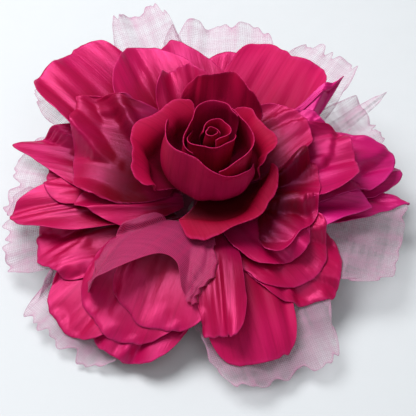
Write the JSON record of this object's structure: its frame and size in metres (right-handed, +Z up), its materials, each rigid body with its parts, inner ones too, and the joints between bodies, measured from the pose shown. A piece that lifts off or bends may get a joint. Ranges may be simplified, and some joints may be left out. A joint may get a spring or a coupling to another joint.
{
  "type": "flower hair clip",
  "caption": "Large ruffled fabric rose with sheer organza petals, mounted on a sprung alligator hair clip whose lever jaw opens and closes.",
  "frame": {"origin": "on the flat underside of the clip's base arm, straight below the flower's stem", "axes": "+Z up through the flower towards its face; +X along the clip, from thumb tab to jaw tip; +Y to the flower's upper side as worn"},
  "size_m": [0.1552, 0.1554, 0.0617],
  "materials": {
    "clip_steel": "nickel-plated spring steel, lightly brushed",
    "spring_wire": "drawn spring wire",
    "rubber_liner": "matt non-slip rubber",
    "felt": "thick needled felt",
    "stem_plastic": "moulded plastic, matt",
    "bud_foam": "closed foam core",
    "satin_petal": "heat-moulded polyester satin, frayed cut edges",
    "cotton_petal": "matt woven cotton, moulded",
    "bud_cloth": "deeper red matt satin",
    "organza": "sheer organza with a visible weave"
  },
  "bodies": {
    "flower": {"clip_base_arm": "clip_steel", "hinge_pin": "clip_steel", "torsion_spring": "spring_wire", "felt_backing": "felt", "stem_peg": "stem_plastic", "bud_core": "bud_foam", "organza_05": "organza", "organza_07": "organza", "organza_06": "organza", "organza_08": "organza", "organza_04": "organza", "organza_09": "organza", "organza_01": "organza", "organza_03": "organza", "organza_02": "organza", "organza_11": "organza", "organza_10": "organza", "under_petal_3": "satin_petal", "under_petal_4": "satin_petal", "under_petal_5": "satin_petal", "under_petal_2": "satin_petal", "under_petal_1": "satin_petal", "outer_petal_06": "cotton_petal", "outer_petal_08": "satin_petal", "outer_petal_09": "satin_petal", "outer_petal_12": "satin_petal", "outer_petal_04": "satin_petal", "outer_petal_03": "satin_petal", "outer_petal_10": "satin_petal", "outer_petal_02": "satin_petal", "outer_petal_11": "satin_petal", "outer_petal_07": "satin_petal", "outer_petal_05": "satin_petal", "middle_petal_01": "satin_petal", "middle_petal_10": "satin_petal", "middle_petal_07": "satin_petal", "middle_petal_09": "satin_petal", "middle_petal_02": "cotton_petal", "outer_petal_01": "satin_petal", "middle_petal_03": "satin_petal", "middle_petal_04": "satin_petal", "middle_petal_06": "satin_petal", "middle_petal_05": "satin_petal", "organza_trumpet": "organza", "middle_petal_08": "satin_petal", "inner_petal_4": "satin_petal", "inner_petal_2": "satin_petal", "inner_petal_3": "satin_petal", "inner_petal_1": "bud_cloth", "collar_petal_front": "bud_cloth", "collar_petal_right": "bud_cloth", "collar_petal_left": "bud_cloth", "heart_petal_6": "bud_cloth", "heart_petal_5": "bud_cloth", "heart_petal_4": "bud_cloth", "heart_petal_3": "bud_cloth", "heart_petal_2": "bud_cloth", "heart_petal_1": "bud_cloth"},
    "lever": {"clip_lever_jaw": "clip_steel", "grip_pad": "rubber_liner"}
  },
  "joints": [
    {"name": "lever_hinge", "type": "hinge", "parent": "flower", "child": "lever", "pos_m": [-0.018, 0, -0.0034], "axis": [0, 1, 0], "range_deg": [0, 28], "stiffness_Nm_per_rad": 0.08, "springref_deg": -40.11, "deforming": ["torsion_spring"]}
  ]
}
